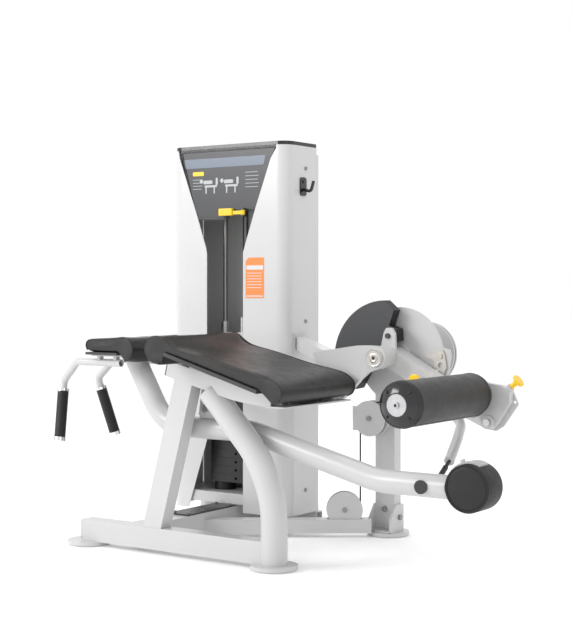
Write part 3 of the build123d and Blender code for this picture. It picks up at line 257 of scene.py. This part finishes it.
FINISH = {
    "floor_feet": WHITE, "front_beam": WHITE, "tube_end_caps": PLASTIC, "curved_leg": WHITE,
    "left_leg": WHITE, "pad_beam": WHITE, "spine_tube": WHITE, "spine_cover_plate": BLACK_COAT,
    "diagonal_tube": WHITE, "rear_upright": WHITE, "frame_bolts": BOLT, "pad_mounts": WHITE,
    "pivot_bracket": WHITE, "main_pad_board": BOARD, "main_pad": LEATHER, "rocker_pivot_pin": STEEL,
    "rocker_tube": WHITE, "small_pad_board": BOARD, "small_pad": LEATHER, "handle_tubes": WHITE,
    "hand_grips": GRIP, "grip_collars": CHROME, "end_weight": RUBBER, "end_cradle": WHITE,
    "link_pin": GLOSS_BLACK, "link_tube": WHITE, "link_rod_end": BLACK_COAT, "exercise_shaft": STEEL,
    "range_disc": WHITE, "stop_hook": NICKEL, "cable_sheave": WHITE, "exercise_arm": WHITE,
    "counterweight": GREY_FACE, "start_pin": YELLOW, "roller_carriage": WHITE, "roller_axle": STEEL,
    "carriage_pin": YELLOW, "leg_roller": LEATHER, "roller_hubs": GLOSS_BLACK, "left_shroud": SHROUD,
    "right_shroud": SHROUD, "top_cap": GLOSS_BLACK, "placard": PANEL, "stack_tray": WHITE,
    "tower_rear_frame": BACK_PANEL, "guide_rods": BOLT, "stack_cushions": RUBBER,
    "resting_plates": PLATE, "lifted_plates": PLATE, "stack_head": STEEL, "selector_pin": YELLOW,
    "weight_lever": YELLOW, "coat_hook": GLOSS_BLACK, "pulley_covers": WHITE, "pull_cable": CABLE,
    "upper_pulley": PULLEY, "lower_pulley": PULLEY, "turn_pulley": PULLEY, "base_pulley": PULLEY,
    "top_pulley": PULLEY,
}


def paint(obj, material):
    """Gives an object one material in every slot."""
    if obj.material_slots:
        for s in obj.material_slots:
            s.material = material
    else:
        obj.data.materials.append(material)


for node, material in FINISH.items():
    paint(NODES[node], material)


# ------------------------------------------------------------------ mesh tools
def new_object(name, bm, material, body, smooth=True):
    """Turns a bmesh into a shown piece that rides on a CAD body."""
    mesh = bpy.data.meshes.new(name)
    bmesh.ops.recalc_face_normals(bm, faces=bm.faces)
    bm.to_mesh(mesh)
    bm.free()
    for face in mesh.polygons:
        face.use_smooth = smooth
    obj = bpy.data.objects.new(name, mesh)
    SCENE.collection.objects.link(obj)
    mesh.materials.append(material)
    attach(obj, body)
    return obj


def add_tube(bm, points, radius, sides=10, closed=False):
    """Tube of round section along points."""
    count = len(points)
    rings = []
    across = None
    for i, point in enumerate(points):
        if closed:
            along = points[(i + 1) % count] - points[i - 1]
        else:
            along = points[min(i + 1, count - 1)] - points[max(i - 1, 0)]
        along = along.normalized()
        if across is None:
            across = along.orthogonal().normalized()
        across = (across - along * across.dot(along)).normalized()
        other = along.cross(across)
        ring = []
        for k in range(sides):
            turn = 2 * math.pi * k / sides
            ring.append(bm.verts.new(point + (across * math.cos(turn) + other * math.sin(turn)) * radius))
        rings.append(ring)
    pairs = list(zip(rings, rings[1:]))
    if closed:
        pairs.append((rings[-1], rings[0]))
    for one, two in pairs:
        for k in range(sides):
            bm.faces.new((one[k], one[(k + 1) % sides], two[(k + 1) % sides], two[k]))
    if not closed:
        bm.faces.new(rings[0][::-1])
        bm.faces.new(rings[-1])


def add_lathe(bm, centre, axis, profile, sides=64):
    """Solid of revolution about axis; profile is a list of (distance along, radius)."""
    axis = Vector(axis).normalized()
    across = axis.orthogonal().normalized()
    other = axis.cross(across)
    rings = []
    for distance, radius in profile:
        middle = centre + axis * distance
        ring = []
        for k in range(sides):
            turn = 2 * math.pi * k / sides
            ring.append(bm.verts.new(middle + (across * math.cos(turn) + other * math.sin(turn)) * radius))
        rings.append(ring)
    for one, two in zip(rings, rings[1:]):
        for k in range(sides):
            bm.faces.new((one[k], one[(k + 1) % sides], two[(k + 1) % sides], two[k]))
    bm.faces.new(rings[0][::-1])
    bm.faces.new(rings[-1])


def add_slab(bm, corners, depth):
    """Flat plate with the given corners, thickened by the vector depth."""
    front = [bm.verts.new(c) for c in corners]
    back = [bm.verts.new(c + depth) for c in corners]
    bm.faces.new(front)
    bm.faces.new(back[::-1])
    count = len(corners)
    for i in range(count):
        j = (i + 1) % count
        bm.faces.new((front[i], back[i], back[j], front[j]))


# ------------------------------------------------------------------ upholstery
def soft_copy(node, name, voxel, shrink):
    """Even mesh copy of a foam solid, pulled in a little so that it has room to swell."""
    source = NODES[node]
    mesh = source.data.copy()
    obj = bpy.data.objects.new(name, mesh)
    SCENE.collection.objects.link(obj)
    obj.matrix_world = source.matrix_world.copy()
    bpy.context.view_layer.update()
    remesh = obj.modifiers.new("Even", "REMESH")
    remesh.mode = "VOXEL"
    remesh.voxel_size = voxel
    smooth = obj.modifiers.new("Ease", "SMOOTH")
    smooth.factor = 0.5
    smooth.iterations = 6
    pull = obj.modifiers.new("Pull", "DISPLACE")
    pull.strength = -shrink
    pull.mid_level = 0.0
    return obj


def bake(obj):
    """Applies every modifier of obj."""
    graph = bpy.context.evaluated_depsgraph_get()
    mesh = bpy.data.meshes.new_from_object(obj.evaluated_get(graph))
    obj.modifiers.clear()
    obj.data = mesh


def inflate(obj, cap, pressure):
    """Blows the cover up by cloth simulation; no point moves further than cap."""
    rest = [v.co.copy() for v in obj.data.vertices]
    cloth = obj.modifiers.new("Cloth", "CLOTH")
    cloth.settings.use_pressure = True
    cloth.settings.uniform_pressure_force = pressure
    cloth.settings.effector_weights.gravity = 0
    cloth.settings.tension_stiffness = 30
    cloth.settings.compression_stiffness = 30
    cloth.settings.bending_stiffness = 2.0
    cloth.point_cache.frame_start = 1
    cloth.point_cache.frame_end = SIM_FRAMES
    for frame_number in range(1, SIM_FRAMES + 1):
        SCENE.frame_set(frame_number)
    bake(obj)
    SCENE.frame_set(1)
    for vertex, start in zip(obj.data.vertices, rest):
        move = vertex.co - start
        if move.length > cap:
            vertex.co = start + move * (cap / move.length)


def finish_cover(obj, node, body, painted_light_share=PAINTED_LIGHT_SIDE):
    """Materials, smoothing and the declarations of one upholstered piece."""
    subdivision = obj.modifiers.new("Fine", "SUBSURF")
    subdivision.levels = 1
    subdivision.render_levels = 1
    bake(obj)
    obj.data.materials.clear()
    obj.data.materials.append(LEATHER)
    # The second slot is painted light: the lighter copy of the upholstery on faces turned along Y.
    obj.data.materials.append(LEATHER_PAINTED_LIGHT)
    for face in obj.data.polygons:
        face.use_smooth = True
        face.material_index = 1 if abs(face.normal.y) > painted_light_share else 0
    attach(obj, body)
    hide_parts(node)


def dish(obj, y_middle, half, depth):
    """Lowers the middle of the upward faces, so the pad cups across its width."""
    normals = [v.normal.z for v in obj.data.vertices]
    for vertex, up in zip(obj.data.vertices, normals):
        across = (vertex.co.y - y_middle) / half
        if up > 0.3:
            vertex.co.z -= depth * (1 - across * across) * min(1.0, (up - 0.3) / 0.3)
    obj.data.update()


def on_surface(obj, point):
    """Nearest point of the mesh to a point in this frame, with its normal."""
    inverse = obj.matrix_world.inverted()
    where, normal = obj.closest_point_on_mesh(inverse @ point)[1:3]
    return obj.matrix_world @ where, normal


def smooth_path(points, step):
    """Evenly spaced points of a Catmull-Rom curve through points."""
    dense = []
    last = len(points) - 1
    for i in range(last):
        p0, p1 = points[max(i - 1, 0)], points[i]
        p2, p3 = points[i + 1], points[min(i + 2, last)]
        for k in range(24):
            t = k / 24
            dense.append(0.5 * (2 * p1 + (p2 - p0) * t + (2 * p0 - 5 * p1 + 4 * p2 - p3) * t * t
                                + (3 * p1 - p0 - 3 * p2 + p3) * t ** 3))
    dense.append(points[-1])
    even = [dense[0]]
    gone = 0.0
    for one, two in zip(dense, dense[1:]):
        gone += (two - one).length
        if gone >= step:
            even.append(two)
            gone = 0.0
    return even


def add_piping(obj, name, outline, y_edges, inset, radius, body):
    """Welt cord round both side edges of a pad, with a row of stitches beside each."""
    cord = bmesh.new()
    thread = bmesh.new()
    for y_edge, inward in zip(y_edges, (1, -1)):
        path = [place(x, y_edge + inward * inset, z) for x, z in outline]
        path = smooth_path(path, STITCH_STEP)
        welt = []
        for point in path:
            where, normal = on_surface(obj, point)
            welt.append(where + normal * radius * 0.35)
        for _ in range(3):
            inner = [(a + b + c) / 3 for a, b, c in zip(welt, welt[1:], welt[2:])]
            welt = [welt[0], *inner, welt[-1]]
        add_tube(cord, welt, radius, 10)
        row = []
        for point in path:
            where, normal = on_surface(obj, point + Vector((0, inward * STITCH_INSET, 0)))
            row.append((where, normal))
        for (one, n1), (two, n2) in zip(row[::2], row[1::2]):
            a = one + n1 * 0.0003
            b = two + n2 * 0.0003
            add_tube(thread, [a, a.lerp(b, 0.5) + n1 * 0.0003, b], STITCH_RADIUS, 6)
    # The welt cords take the painted-light copy of the upholstery, a painted highlight.
    new_object(name + "_welt", cord, LEATHER_PAINTED_LIGHT, body)
    new_object(name + "_stitches", thread, THREAD, body)


# Side outlines of the pads, and the Y of their two side faces.
MAIN_EDGE = [(-360, 676), (-408, 683), (-435, 718), (-417, 759), (-372, 771), (-327, 743), (-228, 713),
             (-134, 691), (-35, 667), (50, 651), (104, 632), (138, 597), (126, 562), (98, 554)]
SMALL_EDGE = [(-765, 702), (-776, 722), (-762, 746), (-690, 751), (-588, 756), (-557, 741), (-545, 710),
              (-557, 678), (-588, 664)]
PAD_Y = (PAD_MIDDLE - 228, PAD_MIDDLE + 228)
SMALL_Y = (PAD_MIDDLE - 150, PAD_MIDDLE + 150)


def make_pads():
    """Both bench pads: swollen foam covers with welt cords and stitches."""
    main = soft_copy("main_pad", "Main_cushion", 0.006, 0.004)
    small = soft_copy("small_pad", "Small_cushion", 0.0055, 0.004)
    for obj, cap in ((main, 0.0045), (small, 0.0045)):
        bake(obj)
        inflate(obj, cap, PRESSURE)
    dish(main, place(0, PAD_MIDDLE, 0).y, 0.228, 0.007)
    dish(small, place(0, PAD_MIDDLE, 0).y, 0.150, 0.004)
    finish_cover(main, "main_pad", "frame")
    finish_cover(small, "small_pad", "rocker")
    add_piping(main, "Main", MAIN_EDGE, PAD_Y, 6, 0.0032, "frame")
    add_piping(small, "Small", SMALL_EDGE, SMALL_Y, 5, 0.0028, "rocker")


def make_roller():
    """Foam roller with rounded ends, an end seam at each side and one lengthwise seam."""
    lo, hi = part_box("leg_roller")
    centre = (lo + hi) / 2
    obj = soft_copy("leg_roller", "Roller_cover", 0.0055, 0.003)
    bake(obj)
    inflate(obj, 0.0035, PRESSURE)
    # The roller's end faces get the painted-light copy of the upholstery.
    finish_cover(obj, "leg_roller", "roller", PAINTED_LIGHT_END)
    radius = (hi.x - lo.x) / 2
    cord = bmesh.new()
    for y in (lo.y + 0.014, hi.y - 0.014):
        ring = []
        for k in range(96):
            turn = 2 * math.pi * k / 96
            outside = centre + Vector((radius * math.cos(turn), 0, radius * math.sin(turn)))
            outside.y = y
            ring.append(on_surface(obj, outside)[0])
        add_tube(cord, ring, 0.0013, 8, closed=True)
    run = []
    for k in range(80):
        outside = centre + Vector((radius * 0.5, 0, -radius * 0.87))
        outside.y = lo.y + 0.014 + (hi.y - lo.y - 0.028) * k / 79
        run.append(on_surface(obj, outside)[0])
    add_tube(cord, run, 0.0012, 8)
    new_object("Roller_seams", cord, THREAD, "roller")


# --------------------------------------------------------------- small details
def make_hub_details():
    """Groove ring and four notches on the near cap of the leg roller."""
    centre = place(ROLLER_X, ROLLER_FRONT, ROLLER_Z)
    ring = bmesh.new()
    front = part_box("roller_hubs")[0].y
    for k in range(4):
        turn = math.pi / 4 + math.pi / 2 * k
        out = Vector((math.cos(turn), 0, math.sin(turn)))
        a = centre + out * 0.050
        b = centre + out * 0.060
        a.y = front + 0.0040
        b.y = front + 0.0100
        add_tube(ring, [a, b], 0.0035, 10)
    groove = []
    for k in range(72):
        turn = 2 * math.pi * k / 72
        groove.append(centre + Vector((0.066 * math.cos(turn), 0, 0.066 * math.sin(turn))))
    for point in groove:
        point.y = front + 0.0148
    add_tube(ring, groove, 0.0011, 8, closed=True)
    new_object("Hub_notches", ring, PLASTIC, "roller")


def add_socket_shade(bm, centre, radius):
    """Painted shade of a key socket: a dark, shallow six-sided plug facing the bench, put where the recess
    would be in shade.
    """
    corners = []
    for k in range(6):
        turn = math.pi / 3 * k
        corners.append(centre + Vector((radius * math.cos(turn), 0, radius * math.sin(turn))))
    add_slab(bm, corners, Vector((0, 0.0012, 0)))


def make_sockets():
    """Painted shade of the key sockets in the head of the roller bolt and in the pivot cap, and the bright
    face of the pivot cap.
    """
    roller = bmesh.new()
    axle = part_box("roller_axle")
    middle = place(ROLLER_X, 0, ROLLER_Z)
    # Dark plug: painted shade of the socket's recess.
    add_socket_shade(roller, Vector((middle.x, axle[0].y - 0.0003, middle.z)), 0.0055)
    new_object("Axle_socket_painted_shade", roller, PLASTIC, "roller", False)
    cap = bmesh.new()
    profile = [(0.0006, 0.010), (0.0, 0.012), (0.0006, 0.016), (0.0016, 0.017), (0.0016, 0.026),
               (0.0012, 0.028), (0.0024, 0.0295), (0.0034, 0.0295)]
    add_lathe(cap, place(PIVOT_X, PIVOT_CAP_FRONT, PIVOT_Z), (0, 1, 0), profile)
    new_object("Pivot_cap_face", cap, NICKEL, "frame", False)
    key = bmesh.new()
    # Dark plug: painted shade of the socket's recess.
    add_socket_shade(key, place(PIVOT_X, PIVOT_CAP_FRONT + 0.3, PIVOT_Z), 0.0065)
    new_object("Pivot_cap_socket_painted_shade", key, PLASTIC, "frame", False)


def make_end_weight():
    """Rubber-covered end weight: a slightly domed face inside a moulded rim."""
    lo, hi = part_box("end_weight")
    radius = (hi.z - lo.z) / 2
    depth = hi.y - lo.y
    start = Vector(((lo.x + hi.x) / 2, lo.y, (lo.z + hi.z) / 2))
    profile = [(0.0008, 0.002)]
    for k in range(1, 13):
        share = k / 12
        profile.append((0.0008 + 0.0026 * share * share, radius * 0.88 * share))
    profile += [(0.0046, radius * 0.895), (0.0046, radius * 0.905), (0.0020, radius * 0.92),
                (0.0008, radius * 0.945), (0.0022, radius * 0.985), (0.0060, radius)]
    profile += [(depth - 0.008, radius), (depth - 0.002, radius * 0.985), (depth, radius * 0.94),
                (depth, 0.002)]
    bm = bmesh.new()
    add_lathe(bm, start, (0, 1, 0), profile, 96)
    obj = new_object("End_weight_rubber", bm, RUBBER, "rocker")
    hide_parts("end_weight")


def rounded(points, radius, steps=6):
    """Corners of a flat outline in X and Z, rounded."""
    out = []
    count = len(points)
    for i in range(count):
        here = Vector(points[i])
        back = (Vector(points[i - 1]) - here).normalized()
        ahead = (Vector(points[(i + 1) % count]) - here).normalized()
        a, b = here + back * radius, here + ahead * radius
        for k in range(steps + 1):
            t = k / steps
            out.append(a * (1 - t) ** 2 + here * 2 * t * (1 - t) + b * t * t)
    return out


def add_panel(bm, points, y_front, thick, radius=0.0):
    """Thin plate facing the bench; points are (X, Z) in the drawing's millimetres."""
    flat = rounded(points, radius) if radius else [Vector(p) for p in points]
    add_slab(bm, [place(p.x, y_front, p.y) for p in flat], Vector((0, thick / 1000, 0)))


def box_points(x0, x1, z0, z1):
    """Corners of an upright rectangle."""
    return [(x0, z0), (x1, z0), (x1, z1), (x0, z1)]


def make_placard_face():
    """Plain header band, marker, two simple exercise symbols and rules; no lettering."""
    face = PLACARD_FACE
    band = bmesh.new()
    add_panel(band, [(-786, 1392), (-412, 1392), (-403, 1428), (-797, 1428)], face - 0.9, 1.2, 7)
    new_object("Placard_band", band, PANEL_BLUE, "frame", False)
    yellow = bmesh.new()
    add_panel(yellow, box_points(-752, -698, 1362, 1378), face - 0.8, 1.0, 5)
    new_object("Placard_marker", yellow, YELLOW, "frame", False)
    marks = bmesh.new()
    for x in (-660, -560):
        add_panel(marks, box_points(x - 34, x + 26, 1316, 1324), face - 0.8, 1.0, 3)
        add_panel(marks, box_points(x - 30, x - 24, 1292, 1316), face - 0.8, 1.0)
        add_panel(marks, box_points(x + 10, x + 16, 1292, 1316), face - 0.8, 1.0)
        add_panel(marks, box_points(x - 40, x + 4, 1329, 1343), face - 0.8, 1.0, 5)
        add_panel(marks, box_points(x + 20, x + 30, 1324, 1352), face - 0.8, 1.0, 4)
        circle = [(x - 50 + 8 * math.cos(2 * math.pi * k / 20), 1340 + 8 * math.sin(2 * math.pi * k / 20))
                  for k in range(20)]
        add_panel(marks, circle, face - 0.8, 1.0)
    for k in range(5):
        add_panel(marks, box_points(-498, -440 + 4 * (k % 2), 1366 - 14 * k, 1368 - 14 * k), face - 0.7, 0.9)
    for k in range(4):
        add_panel(marks, box_points(-752, -704 - 6 * (k % 2), 1346 - 12 * k, 1348 - 12 * k), face - 0.7, 0.9)
    new_object("Placard_marks", marks, PANEL_MARK, "frame", False)
    rim = bmesh.new()
    outline = [(-806, 1456), (-735, 1196), (-593, 1194), (-574, 1221), (-443, 1229), (-358, 1456)]
    flat = rounded(outline, 10)
    add_tube(rim, [place(p.x, face - 0.2, p.y) for p in flat], 0.0028, 8, closed=True)
    new_object("Placard_rim", rim, GLOSS_BLACK, "frame")


def make_label():
    """Plain decal with one chamfered corner on the front of the right shroud."""
    front = SHROUD_FRONT
    back = bmesh.new()
    add_panel(back, label_outline(), front - 0.35, 0.5)
    new_object("Shroud_decal", back, LABEL, "frame", False)
    pale = bmesh.new()
    x0, x1, z0, z1 = LABEL_BOX
    add_panel(pale, box_points(x0 + 5, x1 - 5, z1 - 46, z1 - 30), front - 0.7, 0.5, 2)
    add_panel(pale, box_points(x0 + 5, x1 - 5, z0 + 6, z0 + 10), front - 0.7, 0.5)
    for k in range(6):
        add_panel(pale, box_points(x0 + 6, x1 - 10 - 3 * (k % 2), z1 - 60 - 11 * k, z1 - 58 - 11 * k),
                  front - 0.7, 0.5)
    new_object("Shroud_decal_bands", pale, LABEL_PALE, "frame", False)


def label_outline():
    """Decal outline, with its top left corner cut off."""
    x0, x1, z0, z1 = LABEL_BOX
    return [(x0, z0), (x1, z0), (x1, z1), (x0 + 14, z1), (x0, z1 - 14)]


# ---------------------------------------------------------------------- stage
def make_stage():
    """White floor, white surroundings and four soft lamps."""
    mesh = bpy.data.meshes.new("Floor")
    r = 30.0
    mesh.from_pydata([(-r, -r, 0), (r, -r, 0), (r, r, 0), (-r, r, 0)], [], [(0, 1, 2, 3)])
    floor = bpy.data.objects.new("Floor", mesh)
    SCENE.collection.objects.link(floor)
    s = Shader("Floor_Pale", (0.88, 0.88, 0.88), 0.6, spec=0.2)
    s.set("Emission Color", (1.0, 1.0, 1.0, 1))
    s.set("Emission Strength", 0.14)
    s.vary_rough(s.noise(2.0), 0.3, 0.7, 0.05)
    floor.data.materials.append(s.mat)
    world = bpy.data.worlds.new("Studio")
    world.use_nodes = True
    background = world.node_tree.nodes["Background"]
    background.inputs["Color"].default_value = (1.0, 1.0, 1.0, 1)
    background.inputs["Strength"].default_value = 1.0
    SCENE.world = world
    SCENE.view_settings.view_transform = "Standard"
    SCENE.view_settings.look = "None"
    for name, where, aim, size, power in (
        ("Key", (-3.4, -4.6, 3.2), (0, 0, 0.6), 2.6, 190.0),
        ("Fill", (4.4, -2.4, 2.6), (0, 0, 0.6), 3.0, 8.0),
        ("Top", (0.0, 0.5, 4.6), (0, 0, 0.5), 3.0, 30.0),
        ("Rim", (-3.5, 3.5, 3.0), (0, 0, 0.8), 2.4, 20.0),
    ):
        data = bpy.data.lights.new(name, "AREA")
        data.energy, data.size = power, size
        lamp = bpy.data.objects.new(name, data)
        lamp.location = where
        lamp.rotation_euler = (Vector(aim) - Vector(where)).to_track_quat("-Z", "Y").to_euler()
        SCENE.collection.objects.link(lamp)


def make_camera():
    """Camera at the height and angle of the front view."""
    data = bpy.data.cameras.new("Camera")
    data.lens = FOCAL_ROWS / PICTURE_ROWS * SENSOR
    data.sensor_width = SENSOR
    data.shift_y = SHIFT_ROWS / PICTURE_ROWS
    data.clip_end = 100.0
    camera = bpy.data.objects.new("Camera", data)
    azimuth = math.radians(CAMERA_AZIMUTH)
    forward = Vector((-math.sin(azimuth), math.cos(azimuth), 0))
    camera.location = place(*CAMERA_AT)
    camera.rotation_euler = forward.to_track_quat("-Z", "Y").to_euler()
    SCENE.collection.objects.link(camera)
    SCENE.camera = camera


make_pads()
make_roller()
make_hub_details()
make_sockets()
make_end_weight()
make_placard_face()
make_label()
make_stage()
make_camera()
